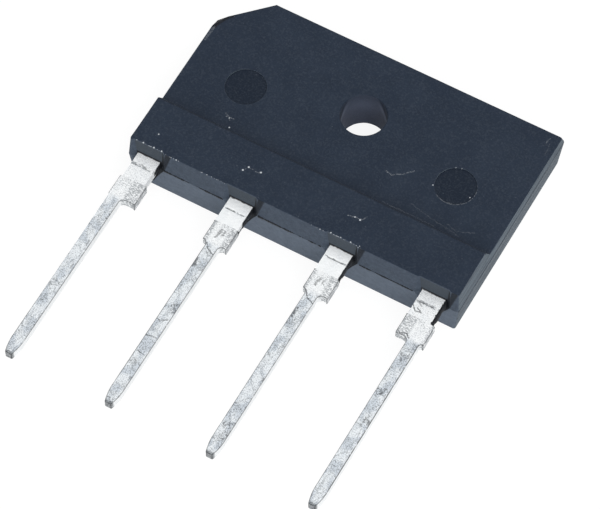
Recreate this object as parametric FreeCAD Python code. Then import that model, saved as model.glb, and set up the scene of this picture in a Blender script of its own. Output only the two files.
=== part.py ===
import FreeCAD, Part
import math
import os

# Four-lead in-line bridge rectifier, lying on its heat-sink face.
# Millimetres. Origin: centre of the screw hole on the heat-sink face.
# X runs along the row of leads, Y from the lead tips to the far edge, Z out of the marked face.

vector = FreeCAD.Vector

# Outline of the body at the parting plane, where the two mould halves met.
bodyWidth = 25.0
holeToLeadEdge = 9.9
holeToFarEdge = 5.2
cornerCut = 3.0
cornerRadius = 0.16
frontCornerRadius = 0.12

# Heights above the heat-sink face.
partingHeight = 2.8
plateThickness = 3.6
bandThickness = 4.6

# The thick band on the lead side, and the sloped step down to the plate.
bandWidth = 3.9
stepRun = 0.6

# How far each face leans in from the parting plane: at the band face, plate face and back face.
frontLeanSide = 0.12
frontLeanLead = 0.2
frontLeanFar = 0.34
backLeanSide = 0.3
backLeanLead = 0.2
backLeanFar = 0.1

# Screw hole with its slightly broken rim, and the two round ejector marks beside it.
screwHoleRadius = 1.6
holeRimBreak = 0.06
ejectorMarkRadius = 1.42
ejectorMarkDepth = 0.08
ejectorMarkSpread = 8.0
ejectorMarkDrop = 1.9

# The chip broken out of the cut corner: its length along each edge, its depth, how far its foot
# stands out, and how far it faces the far edge for each millimetre that it faces the side.
chipAlongCut = 0.85
chipAlongSide = 0.6
chipDepth = 0.45
chipLedge = 0.42
chipTurn = 0.6

# Lead strip: thickness, pitch of the narrow parts, and length from the lead edge of the body.
# The roots are spread evenly over the body, the outer ones this far in from its two ends.
leadThickness = 0.7
leadPitch = 7.5
leadRowShift = -0.2
rootToEnd = 1.25
leadLength = 17.0
leadNarrowWidth = 0.92
leadRootWidth = 1.7
leadTipWidth = 0.5
tipTaperLength = 1.5
tipBulge = 0.07
shoulderRadius = 0.35
shoulderLeast = 0.09
shoulderShare = 0.9

# Where the cut dam bar left its stubs, measured out from the lead edge.
damBarStart = 1.8
damBarEnd = 3.4

# The fine nick that the mould pressed across each lead.
nickFromEdge = 0.62
nickLength = 1.2
nickWidth = 0.14
nickDepth = 0.05

# For each lead: shift of its root from its even place, and the width of its two dam-bar stubs.
leadShapes = (
    {"name": "lead_positive", "rootShift": 0.46, "stubLeft": 0.16, "stubRight": 0.19},
    {"name": "lead_ac_1", "rootShift": 0.05, "stubLeft": 0.03, "stubRight": 0.08},
    {"name": "lead_ac_2", "rootShift": 0.11, "stubLeft": 0.04, "stubRight": 0.14},
    {"name": "lead_negative", "rootShift": -0.5, "stubLeft": 0.05, "stubRight": 0.36},
)

# Pocket of the body around each lead: depth, half width beyond the lead at three heights of the
# lead-side wall, and how much narrower it is on its floor, because its two sides are ramps.
pocketDepth = 0.28
pocketRamp = 0.36
pocketSideAtFace = 0.6
pocketSideAtParting = 0.44
pocketSideAtFoot = -0.55
pocketFootHeight = 0.6

# Joggle of the strip inside the body, down to the level of the die pads.
padHeight = 0.9
joggleStart = 1.1
joggleRun = 1.2
bendRadius = 0.25
frameOverlap = 0.6

# Die pads: epoxy left around them, between them and around the screw hole.
padStart = 2.5
innerWall = 0.9
padGap = 0.6
holeWall = 0.85
padTopLow = 7.0
armWidth = 1.75
armEndLength = 4.1
padCornerRadius = 0.25

# Dice, solder and clips.
dieSide = 2.2
dieThickness = 0.28
topContactSide = 1.5
solderThickness = 0.08
lowDieRow = 5.1
highDieRow = 10.9
positiveDieInset = 1.95
acOneDieShift = 1.2
clipThickness = 0.3
clipWidth = 1.3
clipFootLength = 1.1
clipFootInset = 0.3
clipSlopeRun = 0.5

halfWidth = bodyWidth / 2
leadEdge = -holeToLeadEdge
farEdge = holeToFarEdge
stripTop = partingHeight + leadThickness / 2
stripBottom = partingHeight - leadThickness / 2
padTop = padHeight + leadThickness
dieBottom = padTop + solderThickness
dieTop = dieBottom + dieThickness
clipLevel = dieTop + solderThickness
footLevel = padTop + solderThickness
cutDepth = 1.0
nearness = 0.01


def roundedWire(points, radius, height):
    """Closed wire through the points at one height, with each corner rounded."""
    count = len(points)
    edges = []
    ends = []
    for index in range(count):
        corner = vector(points[index][0], points[index][1], height)
        before = vector(points[index - 1][0], points[index - 1][1], height)
        after = vector(points[(index + 1) % count][0], points[(index + 1) % count][1], height)
        toBefore = (before - corner).normalize()
        toAfter = (after - corner).normalize()
        halfAngle = toBefore.getAngle(toAfter) / 2
        setBack = radius / math.tan(halfAngle)
        start = corner + toBefore * setBack
        end = corner + toAfter * setBack
        bisector = (toBefore + toAfter).normalize()
        centre = corner + bisector * (radius / math.sin(halfAngle))
        middle = centre - bisector * radius
        ends.append((start, middle, end))
    for index in range(count):
        start, middle, end = ends[index]
        edges.append(Part.Arc(start, middle, end).toShape())
        edges.append(Part.LineSegment(end, ends[(index + 1) % count][0]).toShape())
    return Part.Wire(edges)


def bodyOutline(leanSide, leanLead, leanFar):
    """Corners of the body's outline, leaning in from the parting plane by the given amounts."""
    side = halfWidth - leanSide
    low = leadEdge + leanLead
    high = farEdge - leanFar
    return [
        (-side, low),
        (side, low),
        (side, high),
        (-side + cornerCut, high),
        (-side, high - cornerCut),
    ]


def makeOuterForm():
    """The epoxy block: back half and front half leaning in from the parting plane."""
    plateShare = (bandThickness - partingHeight) / (plateThickness - partingHeight)
    parting = roundedWire(bodyOutline(0, 0, 0), cornerRadius, partingHeight)
    back = roundedWire(bodyOutline(backLeanSide, backLeanLead, backLeanFar), cornerRadius, 0)
    frontPoints = bodyOutline(frontLeanSide, frontLeanLead, frontLeanFar * plateShare)
    front = roundedWire(frontPoints, frontCornerRadius, bandThickness)
    backHalf = Part.makeLoft([back, parting], True, True)
    frontHalf = Part.makeLoft([parting, front], True, True)
    block = backHalf.fuse(frontHalf)
    bandEdge = leadEdge + bandWidth
    stepProfile = [
        vector(-halfWidth - cutDepth, bandEdge + stepRun, plateThickness),
        vector(-halfWidth - cutDepth, farEdge + cutDepth, plateThickness),
        vector(-halfWidth - cutDepth, farEdge + cutDepth, bandThickness + cutDepth),
        vector(-halfWidth - cutDepth, bandEdge, bandThickness + cutDepth),
        vector(-halfWidth - cutDepth, bandEdge, bandThickness),
    ]
    stepFace = Part.Face(Part.makePolygon(stepProfile + [stepProfile[0]]))
    abovePlate = stepFace.extrude(vector(bodyWidth + 2 * cutDepth, 0, 0))
    return block.cut(abovePlate)


def makeCornerChip():
    """Wedge that broke out of the marked face where the cut corner meets the side."""
    shareUp = (plateThickness - partingHeight) / (bandThickness - partingHeight)
    side = halfWidth - frontLeanSide * shareUp
    cornerY = farEdge - frontLeanFar - cornerCut
    alongCut = chipAlongCut / math.sqrt(2)
    topStart = vector(-side + alongCut, cornerY + alongCut, plateThickness)
    topEnd = vector(-side, cornerY - chipAlongSide, plateThickness)
    outward = vector(-1, chipTurn, 0).normalize()
    ledge = outward * chipLedge
    bottomStart = topStart + ledge - vector(0, 0, chipDepth)
    bottomEnd = topEnd + ledge - vector(0, 0, chipDepth)
    reach = outward * cutDepth
    above = reach + vector(0, 0, cutDepth)
    section = [topStart, bottomStart, bottomStart + reach, topStart + above]
    otherSection = [topEnd, bottomEnd, bottomEnd + reach, topEnd + above]
    firstWire = Part.makePolygon(section + [section[0]])
    secondWire = Part.makePolygon(otherSection + [otherSection[0]])
    return Part.makeLoft([firstWire, secondWire], True, True)


def pocketWire(rootCentre, across, narrower):
    """Section of a pocket at one distance across the body, narrower than on the lead-side wall."""
    halfRoot = leadRootWidth / 2
    atFace = halfRoot + pocketSideAtFace - narrower
    atParting = halfRoot + pocketSideAtParting - narrower
    atFoot = halfRoot + pocketSideAtFoot
    slope = (atFace - atParting) / (bandThickness - partingHeight)
    atTop = atFace + slope * cutDepth
    corners = [
        vector(rootCentre - atTop, across, bandThickness + cutDepth),
        vector(rootCentre + atTop, across, bandThickness + cutDepth),
        vector(rootCentre + atParting, across, partingHeight),
        vector(rootCentre + atFoot, across, pocketFootHeight),
        vector(rootCentre - atFoot, across, pocketFootHeight),
        vector(rootCentre - atParting, across, partingHeight),
    ]
    return Part.makePolygon(corners + [corners[0]])


def makePocket(rootCentre):
    """Recess around one lead with ramped sides, from the band face down into the back half."""
    floor = pocketWire(rootCentre, leadEdge + pocketDepth, pocketRamp)
    wider = pocketRamp * cutDepth / pocketDepth
    outside = pocketWire(rootCentre, leadEdge - cutDepth, -wider)
    return Part.makeLoft([outside, floor], True, True)


def leadCentre(index):
    """Centre line of the narrow part of one lead."""
    return leadRowShift + leadPitch * (index - (len(leadShapes) - 1) / 2)


def rootCentre(index):
    """Centre line of the root of one lead, where it leaves the body."""
    gaps = len(leadShapes) - 1
    rootSpacing = (bodyWidth - 2 * rootToEnd) / gaps
    evenPlace = leadRowShift + rootSpacing * (index - gaps / 2)
    return evenPlace + leadShapes[index]["rootShift"]


def leadSide(index, side):
    """Half outline of one lead's outer part, root to tip; side is -1 for left and 1 for right."""
    shape = leadShapes[index]
    middle = leadCentre(index)
    stub = shape["stubRight"] if side > 0 else shape["stubLeft"]
    root = (rootCentre(index) - middle) * side + leadRootWidth / 2
    narrow = leadNarrowWidth / 2
    wide = max(root + stub, narrow + shoulderLeast)
    radius = min(shoulderRadius, (wide - narrow) * shoulderShare)
    diagonal = radius * (1 - math.sqrt(0.5))

    def place(out, down):
        return vector(middle + side * out, leadEdge - down, stripBottom)

    rootIn = place(root, -joggleStart)
    rootOut = place(root, damBarStart)
    stubIn = place(wide, damBarStart)
    stubOut = place(wide, damBarEnd)
    filletStart = place(narrow + radius, damBarEnd)
    filletMiddle = place(narrow + diagonal, damBarEnd + diagonal)
    filletEnd = place(narrow, damBarEnd + radius)
    taperStart = place(narrow, leadLength - tipTaperLength)
    taperMiddle = place((narrow + leadTipWidth / 2) / 2 + tipBulge, leadLength - tipTaperLength / 2)
    tip = place(leadTipWidth / 2, leadLength)
    return [
        Part.LineSegment(rootIn, rootOut).toShape(),
        Part.LineSegment(rootOut, stubIn).toShape(),
        Part.LineSegment(stubIn, stubOut).toShape(),
        Part.LineSegment(stubOut, filletStart).toShape(),
        Part.Arc(filletStart, filletMiddle, filletEnd).toShape(),
        Part.LineSegment(filletEnd, taperStart).toShape(),
        Part.Arc(taperStart, taperMiddle, tip).toShape(),
    ], rootIn, tip


def makeOuterLead(index):
    """Flat stamped strip outside the body, from just inside the body to the tip."""
    left, leftRoot, leftTip = leadSide(index, -1)
    right, rightRoot, rightTip = leadSide(index, 1)
    edges = left + right
    edges.append(Part.LineSegment(leftTip, rightTip).toShape())
    edges.append(Part.LineSegment(leftRoot, rightRoot).toShape())
    wire = Part.Wire(Part.__sortEdges__(edges))
    strip = Part.Face(wire).extrude(vector(0, 0, leadThickness))
    nickY = leadEdge - nickFromEdge
    nickX = rootCentre(index) - nickLength / 2
    nick = [
        vector(nickX, nickY - nickWidth / 2, stripTop),
        vector(nickX, nickY + nickWidth / 2, stripTop),
        vector(nickX, nickY, stripTop - nickDepth),
    ]
    groove = Part.Face(Part.makePolygon(nick + [nick[0]])).extrude(vector(nickLength, 0, 0))
    return strip.cut(groove)


def makeJoggle(index):
    """Bent length of strip inside the body, from the lead plane down to the pad level."""
    drop = stripTop - padTop
    bendShift = leadThickness * math.tan(math.atan2(drop, joggleRun) / 2)
    startY = leadEdge + joggleStart
    endY = startY + joggleRun
    lastY = leadEdge + padStart + padCornerRadius + leadThickness
    x = rootCentre(index) - leadRootWidth / 2
    backY = startY - frameOverlap
    profile = [
        vector(x, backY, stripTop),
        vector(x, startY, stripTop),
        vector(x, endY, padTop),
        vector(x, lastY, padTop),
        vector(x, lastY, padHeight),
        vector(x, endY - bendShift, padHeight),
        vector(x, startY - bendShift, stripBottom),
        vector(x, backY, stripBottom),
    ]
    face = Part.Face(Part.makePolygon(profile + [profile[0]]))
    bent = face.extrude(vector(leadRootWidth, 0, 0))
    corners = [profile[1], profile[2], profile[5], profile[6]]
    bends = []
    for edge in bent.Edges:
        start = edge.Vertexes[0].Point
        runsAcross = abs(edge.Vertexes[1].Point.x - start.x) > leadRootWidth / 2
        for corner in corners:
            atCorner = abs(start.y - corner.y) < nearness and abs(start.z - corner.z) < nearness
            if runsAcross and atCorner:
                bends.append(edge)
    return bent.makeFillet(bendRadius, bends)


def makePlate(points):
    """Flat pad of strip thickness with rounded corners, at the pad level."""
    wire = roundedWire(points, padCornerRadius, padHeight)
    return Part.Face(wire).extrude(vector(0, 0, leadThickness))


def rectangle(left, low, right, high):
    """Corners of an upright rectangle."""
    return [(left, low), (right, low), (right, high), (left, high)]


def padLimit(index):
    """Left and right limits of one pad: half way to its neighbours, or the inner wall."""
    left = -halfWidth + innerWall
    right = halfWidth - innerWall
    if index > 0:
        left = (rootCentre(index - 1) + rootCentre(index)) / 2 + padGap / 2
    if index < len(leadShapes) - 1:
        right = (rootCentre(index) + rootCentre(index + 1)) / 2 - padGap / 2
    return left, right


padLow = leadEdge + padStart
padHigh = leadEdge + padTopLow
padFar = farEdge - innerWall - backLeanFar
lowRowY = leadEdge + lowDieRow
highRowY = leadEdge + highDieRow
positiveDieX = padLimit(0)[0] + positiveDieInset
acOneDieX = rootCentre(1) + acOneDieShift
acTwoDieX = rootCentre(2)
dieCentres = (
    (positiveDieX, lowRowY),
    (positiveDieX, highRowY),
    (acOneDieX, lowRowY),
    (acTwoDieX, lowRowY),
)


def makePositivePad():
    """Tall pad for two dice, with its corner cut beside the cut corner of the body."""
    left, right = padLimit(0)
    cut = cornerCut - innerWall * (2 - math.sqrt(2))
    points = [
        (left, padLow),
        (right, padLow),
        (right, padFar),
        (left + cut, padFar),
        (left, padFar - cut),
    ]
    return makePlate(points)


def makeAcTwoPad():
    """Pad with an arm that passes round the screw hole to reach the upper clip."""
    left, right = padLimit(2)
    armInner = screwHoleRadius + holeWall
    armFar = armInner + armWidth
    endLeft = padLimit(1)[0]
    points = [
        (left, padLow),
        (right, padLow),
        (right, padHigh),
        (armFar, padHigh),
        (armFar, armFar),
        (endLeft, armFar),
        (endLeft, armFar - armEndLength),
        (endLeft + armWidth, armFar - armEndLength),
        (endLeft + armWidth, armInner),
        (armInner, armInner),
        (armInner, padHigh),
        (left, padHigh),
    ]
    return makePlate(points)


def makeLeadFrame(index):
    """One stamped frame: outer lead, joggle and die pad in one piece."""
    if index == 0:
        pad = makePositivePad()
    elif index == 2:
        pad = makeAcTwoPad()
    else:
        left, right = padLimit(index)
        pad = makePlate(rectangle(left, padLow, right, padHigh))
    frame = makeOuterLead(index).fuse([makeJoggle(index), pad])
    return frame.removeSplitter()


def makeBlock(centre, sideX, sideY, bottom, thickness):
    """Flat rectangular block centred on a point."""
    corner = vector(centre[0] - sideX / 2, centre[1] - sideY / 2, bottom)
    return Part.makeBox(sideX, sideY, thickness, corner)


def makeClip(startX, footX, rowY):
    """Copper clip: flat over the die or dice, sloping down to one foot."""
    contactLeft = startX - topContactSide / 2
    footLeft = footX - clipFootLength / 2
    footRight = footX + clipFootLength / 2
    slopeLeft = footLeft - clipSlopeRun
    y = rowY - clipWidth / 2
    profile = [
        vector(contactLeft, y, clipLevel),
        vector(slopeLeft, y, clipLevel),
        vector(footLeft, y, footLevel),
        vector(footRight, y, footLevel),
        vector(footRight, y, footLevel + clipThickness),
        vector(footLeft + clipThickness / 2, y, footLevel + clipThickness),
        vector(slopeLeft + clipThickness / 2, y, clipLevel + clipThickness),
        vector(contactLeft, y, clipLevel + clipThickness),
    ]
    face = Part.Face(Part.makePolygon(profile + [profile[0]]))
    return face.extrude(vector(0, clipWidth, 0))


def makeInnerPieces():
    """Dice, solder joints and clips, by node name."""
    pieces = {}
    for number, centre in enumerate(dieCentres, start=1):
        pieces["diode_%d" % number] = makeBlock(centre, dieSide, dieSide, dieBottom, dieThickness)
        under = makeBlock(centre, dieSide, dieSide, padTop, solderThickness)
        pieces["die_solder_%d" % number] = under
        over = makeBlock(centre, topContactSide, clipWidth, dieTop, solderThickness)
        pieces["top_solder_%d" % number] = over
    footFromEdge = clipFootInset + clipFootLength / 2
    acFootX = padLimit(1)[0] + footFromEdge
    negativeFootX = padLimit(3)[0] + footFromEdge
    clips = (
        ("ac_1", positiveDieX, acFootX, lowRowY),
        ("ac_2", positiveDieX, acFootX, highRowY),
        ("negative", acOneDieX, negativeFootX, lowRowY),
    )
    for name, startX, footX, rowY in clips:
        pieces["clip_" + name] = makeClip(startX, footX, rowY)
        foot = makeBlock((footX, rowY), clipFootLength, clipWidth, padTop, solderThickness)
        pieces["foot_solder_" + name] = foot
    return pieces


def makeBody(embedded):
    """Epoxy body: outer form with its hole, marks, chip and pockets, moulded round the inner pieces."""
    body = makeOuterForm()
    hole = Part.makeCylinder(screwHoleRadius, plateThickness + 2 * cutDepth, vector(0, 0, -cutDepth))
    rim = Part.makeCone(
        screwHoleRadius,
        screwHoleRadius + holeRimBreak + cutDepth,
        holeRimBreak + cutDepth,
        vector(0, 0, plateThickness - holeRimBreak),
    )
    cutters = [hole, rim, makeCornerChip()]
    for side in (-1, 1):
        place = vector(side * ejectorMarkSpread, -ejectorMarkDrop, plateThickness - ejectorMarkDepth)
        cutters.append(Part.makeCylinder(ejectorMarkRadius, ejectorMarkDepth + cutDepth, place))
    for index in range(len(leadShapes)):
        cutters.append(makePocket(rootCentre(index)))
    return body.cut(cutters).cut(embedded)


def saveNode(name, shape):
    """Write one node and say what it is."""
    solids = len(shape.Solids)
    valid = shape.isValid()
    print("%s: %d solid, valid %s, %.3f cubic mm" % (name, solids, valid, shape.Volume))
    shape.exportStep("parts/%s.step" % name)


def main():
    os.makedirs("parts", exist_ok=True)
    nodes = {}
    for index, shape in enumerate(leadShapes):
        nodes[shape["name"]] = makeLeadFrame(index)
    nodes.update(makeInnerPieces())
    nodes["moulded_body"] = makeBody(list(nodes.values()))
    for name, shape in nodes.items():
        saveNode(name, shape)


main()
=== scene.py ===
import math
import bmesh
import bpy
from mathutils import Matrix, Vector, noise


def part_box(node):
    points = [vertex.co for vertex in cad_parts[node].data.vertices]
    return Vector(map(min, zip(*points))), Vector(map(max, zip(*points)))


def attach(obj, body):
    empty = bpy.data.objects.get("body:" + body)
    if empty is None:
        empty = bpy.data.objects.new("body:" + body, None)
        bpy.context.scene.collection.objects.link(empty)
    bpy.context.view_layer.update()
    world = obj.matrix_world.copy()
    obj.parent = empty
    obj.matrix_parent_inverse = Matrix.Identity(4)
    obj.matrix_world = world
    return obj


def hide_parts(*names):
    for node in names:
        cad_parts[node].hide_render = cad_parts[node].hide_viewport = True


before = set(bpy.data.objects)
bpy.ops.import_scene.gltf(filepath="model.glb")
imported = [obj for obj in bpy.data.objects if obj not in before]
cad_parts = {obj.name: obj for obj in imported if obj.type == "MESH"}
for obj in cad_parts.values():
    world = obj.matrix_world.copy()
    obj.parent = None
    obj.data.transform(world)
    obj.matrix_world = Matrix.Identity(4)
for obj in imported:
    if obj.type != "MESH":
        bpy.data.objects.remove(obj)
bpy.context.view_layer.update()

mm = 0.001
# places that more than one piece or finish needs, in millimetres from the screw hole on the back face
places = {
    "leadEdge": -9.9,
    "bandEdge": -6.0,
    "nickLine": -10.52,
    "partingHeight": 2.8,
    "plate": 3.6,
    "markPlaces": ((-8.0, -1.9), (8.0, -1.9)),
    "rootPlaces": (-10.99, -3.90, 3.66, 10.55),
}
print("frame loaded:", len(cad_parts), "nodes")


# one wrapped socket, with plain arithmetic
class Value:
    def __init__(self, finish, socket):
        self.finish = finish
        self.socket = socket

    def apply(self, operation, *others):
        sockets = dict(enumerate([self, *others]))
        return self.finish.make("ShaderNodeMath", {"operation": operation}, sockets)

    def applySecond(self, operation, other):
        # the same, with the other value before this one
        return self.finish.make("ShaderNodeMath", {"operation": operation}, {0: other, 1: self})

    def __add__(self, other):
        return self.apply("ADD", other)

    def __radd__(self, other):
        return self.apply("ADD", other)

    def __sub__(self, other):
        return self.apply("SUBTRACT", other)

    def __rsub__(self, other):
        return self.applySecond("SUBTRACT", other)

    def __mul__(self, other):
        return self.apply("MULTIPLY", other)

    def __rmul__(self, other):
        return self.apply("MULTIPLY", other)

    def __truediv__(self, other):
        return self.apply("DIVIDE", other)

    def __rtruediv__(self, other):
        return self.applySecond("DIVIDE", other)


def strongest(masks):
    total = masks[0]
    for mask in masks[1:]:
        total = total.apply("MAXIMUM", mask)
    return total


class Builder:
    # adds any node to one tree: its settings first, then the values or links of its sockets
    def make(self, kind, settings=None, sockets=None, output=0):
        node = self.tree.nodes.new(kind)
        for key, setting in (settings or {}).items():
            setattr(node, key, setting)
        for key, given in (sockets or {}).items():
            if isinstance(given, Value):
                self.tree.links.new(given.socket, node.inputs[key])
            else:
                node.inputs[key].default_value = given
        if output is None:
            return node
        return Value(self, node.outputs[output])


class Finish(Builder):
    # one procedural material, with the place on the part in millimetres and the way it faces
    def __init__(self, name):
        self.material = bpy.data.materials.new(name)
        self.material.use_nodes = True
        self.tree = self.material.node_tree
        self.tree.nodes.clear()
        place = self.make("ShaderNodeTexCoord", output="Object")
        self.place = self.make("ShaderNodeVectorMath", {"operation": "SCALE"}, {0: place, "Scale": 1 / mm})
        split = self.make("ShaderNodeSeparateXYZ", {}, {0: self.place}, output=None)
        self.x, self.y, self.z = [Value(self, split.outputs[axis]) for axis in "XYZ"]
        turned = self.make("ShaderNodeNewGeometry", output="Normal")
        facing = self.make("ShaderNodeSeparateXYZ", {}, {0: turned}, output=None)
        self.nx, self.ny, self.nz = [Value(self, facing.outputs[axis]) for axis in "XYZ"]

    def painted(self, name):
        # what the mesh itself carries for each point or face
        return self.make("ShaderNodeAttribute", {"attribute_name": name}, output="Fac")

    def noise(self, size, detail=2.0, roughness=0.5, stretch=(1, 1, 1), shift=(0, 0, 0)):
        # size: width of one patch in millimetres
        sockets = {"Vector": self.place, "Location": shift, "Scale": stretch}
        mapping = self.make("ShaderNodeMapping", {}, sockets)
        return self.make(
            "ShaderNodeTexNoise",
            {"noise_dimensions": "3D"},
            {"Vector": mapping, "Scale": 1 / size, "Detail": detail, "Roughness": roughness},
            output="Fac",
        )

    def band(self, value, low, high):
        # 0 below low, 1 above high, smooth between; low may be the larger one
        return self.make(
            "ShaderNodeMapRange",
            {"interpolation_type": "SMOOTHSTEP"},
            {"Value": value, "From Min": low, "From Max": high, "To Min": 0.0, "To Max": 1.0},
        )

    def blend(self, share, first, second):
        sockets = {0: share, 6: first, 7: second}
        return self.make("ShaderNodeMix", {"data_type": "RGBA"}, sockets, output=2)

    def distanceFrom(self, centre):
        # seen from above
        squares = (self.x - centre[0]).apply("POWER", 2) + (self.y - centre[1]).apply("POWER", 2)
        return squares.apply("SQRT")

    def spotMask(self, centre, radius, softness):
        return self.band(self.distanceFrom(centre), radius + softness, radius - softness)

    def ringMask(self, centre, radius, halfWidth):
        fromRing = (self.distanceFrom(centre) - radius).apply("ABSOLUTE")
        return self.band(fromRing, halfWidth, halfWidth * 0.4)

    def strokeMask(self, points, width, wander=0.10):
        # 1 on a thin line through the points, seen from above; it wanders a little from side to side
        x = self.x + wander * (self.noise(0.30, detail=2, shift=(8, 0, 0)) - 0.5)
        y = self.y + wander * (self.noise(0.30, detail=2, shift=(0, 8, 0)) - 0.5)
        lines = []
        for start, end in zip(points, points[1:]):
            dx, dy = end[0] - start[0], end[1] - start[1]
            length = max(dx * dx + dy * dy, 1e-9)
            along = ((x - start[0]) * dx + (y - start[1]) * dy) / length
            along = along.apply("MAXIMUM", 0.0).apply("MINIMUM", 1.0)
            offX = x - start[0] - along * dx
            offY = y - start[1] - along * dy
            off = (offX * offX + offY * offY).apply("SQRT")
            lines.append(self.band(off, width, width * 0.4))
        return strongest(lines)

    def close(self, colour, roughness, metallic, height, bumpDistance, specular=0.5):
        sockets = {"Base Color": colour, "Roughness": roughness, "Metallic": metallic}
        sockets["Specular IOR Level"] = specular
        relief = {"Height": height, "Distance": bumpDistance * mm, "Strength": 1.0}
        sockets["Normal"] = self.make("ShaderNodeBump", {}, relief)
        shader = self.make("ShaderNodeBsdfPrincipled", {}, sockets)
        self.make("ShaderNodeOutputMaterial", {}, {"Surface": shader}, output=None)
        return self.material


epoxyLook = {
    "face": (0.0170, 0.0270, 0.0460, 1),
    "faceShade": (0.0135, 0.0225, 0.0400, 1),
    "wall": (0.062, 0.083, 0.117, 1),
    "lowerWall": (0.120, 0.152, 0.200, 1),
    "pocket": (0.052, 0.066, 0.084, 1),
    "mark": (0.0035, 0.0095, 0.0215, 1),
    "holeShade": (0.020, 0.030, 0.052, 1),
    "holeLit": (0.096, 0.116, 0.172, 1),
    "holeEdge": (0.190, 0.220, 0.300, 1),
    "slope": (0.0130, 0.0205, 0.0340, 1),
    "crest": (0.0085, 0.0135, 0.0245, 1),
    "side": (0.118, 0.150, 0.182, 1),
    "stripe": (0.024, 0.033, 0.048, 1),
    "fracture": (0.0040, 0.0050, 0.0080, 1),
    "worn": (0.13, 0.15, 0.18, 1),
    "scuff": (0.62, 0.66, 0.70, 1),
    "dark": (0.0035, 0.0045, 0.0065, 1),
    "specular": 0.16,
    # pairs of heights or widths: where a mask starts and where it is full
    "lowerWallHeights": (2.84, 2.78),
    "pocketTopHeights": (4.8, 4.2),
    "besideLeadHeights": (3.36, 3.21),
    "pocketFootHeights": (2.76, 2.84),
    "slopeHeights": (3.60, 3.66),
    "crestHeights": (4.40, 4.50),
    "crestWidths": (0.11, 0.03),
    "litHeights": (3.5, 2.0),
    "litEdgeHeights": (3.4, 2.2),
    "chipHeights": (3.20, 3.35),
    "flakeHeights": (3.30, 3.45),
    "sideLevels": (2.80, 1.62),
    # the shadow in the bore: its direction from above, its edge at the top and how the edge slants
    "boreAcross": (0.868, 0.496),
    "boreShadow": 1.0,
    "boreSlant": 0.42,
    # the right side of each pocket: its start from the root's middle, its lean and that of its shadow
    "rampStart": 1.29,
    "rampLean": 0.09,
    "shadeLean": 0.17,
    "rimRadius": 1.44,
    "rimHalfWidth": 0.045,
    "scuffWidth": 0.05,
    "chipLine": [(-12.30, 1.30), (-12.16, 1.79), (-12.03, 2.04), (-11.88, 2.32), (-11.66, 2.62)],
    "flakeLine": [(-12.23, 1.22), (-12.27, 0.70), (-12.30, 0.06)],
}

# small marks on the marked face and its edges, in millimetres from the screw hole
scuffLines = {
    "bandLeftTick": ([(-4.60, -8.21), (-4.40, -7.86)], 0.16),
    "bandLeftTail": ([(-4.37, -7.83), (-3.80, -7.90), (-3.46, -7.80)], 0.22),
    "bandRightTick": ([(3.14, -7.85), (3.61, -7.76)], 0.30),
    "bandRightTail": ([(3.61, -7.76), (4.01, -7.80), (4.30, -7.38)], 0.28),
    "plateArc": ([(3.41, -3.13), (3.90, -3.21), (4.50, -2.79), (5.08, -2.19)], 0.26),
    "plateLong": ([(6.10, -4.50), (7.20, -4.80), (8.47, -4.98), (9.93, -5.21)], 0.07),
    "plateLongEnd": ([(8.9, -4.75), (9.6, -4.95), (10.4, -4.70), (10.9, -4.45)], 0.08),
    "plateShort": ([(-8.0, -4.57), (-7.42, -4.51)], 0.25),
    "plateFaint": ([(-8.1, -4.35), (-7.6, -4.75)], 0.15),
    "sideEdge": ([(11.74, 4.42), (11.70, 4.18), (11.63, 3.70)], 0.14),
    "sideEdgeTwo": ([(11.92, 4.0), (12.02, 3.2)], 0.07),
    "slopeFoot": ([(4.32, -5.33), (6.60, -5.30), (8.19, -5.34)], 0.10),
    "markRim": ([(7.2, -3.12), (7.9, -3.32), (8.6, -3.19), (9.2, -2.70)], 0.14),
}
# stretches of the band's lead-side edge that are broken in small white flecks
edgeBreakLines = [
    [(-11.9, -9.58), (-9.7, -9.58)],
    [(-9.5, -9.72), (-8.6, -9.72)],
    [(-6.9, -9.72), (-5.2, -9.72)],
    [(1.2, -9.72), (2.2, -9.72)],
    [(2.4, -9.58), (5.0, -9.58)],
]
scuffSpots = [
    (-10.61, -9.57, 0.05), (-10.02, -9.57, 0.045), (-11.42, -9.58, 0.05), (-8.84, -9.70, 0.05),
    (2.05, -9.69, 0.035), (2.81, -9.57, 0.04), (3.54, -9.57, 0.03),
    (4.28, -9.57, 0.04), (4.94, -9.56, 0.03),
    (7.33, -0.63, 0.025), (7.71, -0.50, 0.025), (9.21, -2.19, 0.035),
    (-10.86, -8.52, 0.045), (-4.60, -8.21, 0.06), (-4.37, -7.83, 0.06), (-3.46, -7.80, 0.06),
    (-7.36, -5.24, 0.05), (-7.73, -4.59, 0.04), (6.64, -2.57, 0.04),
    (3.61, -7.76, 0.05), (4.01, -7.80, 0.06),
]


def rightEndColour(epoxy, look):
    # fine streaks and two drawn lines that run along the end face
    striped = epoxy.noise(0.17, detail=2, stretch=(1, 0.05, 1.4), shift=(0, 0, 1))
    striped = epoxy.band(striped, 0.44, 0.58)
    wave = 0.16 * (epoxy.noise(1.2, detail=2, stretch=(1, 0.6, 1), shift=(0, 3, 3)) - 0.5)
    drawn = strongest([
        epoxy.band((epoxy.z + wave - level).apply("ABSOLUTE"), 0.22, 0.08) for level in look["sideLevels"]
    ])
    drawn = drawn * epoxy.band(epoxy.noise(0.7, detail=3, stretch=(1, 0.3, 1)), 0.30, 0.46)
    return epoxy.blend(strongest([striped * 0.50, drawn * 0.70]), look["side"], look["stripe"])


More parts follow.
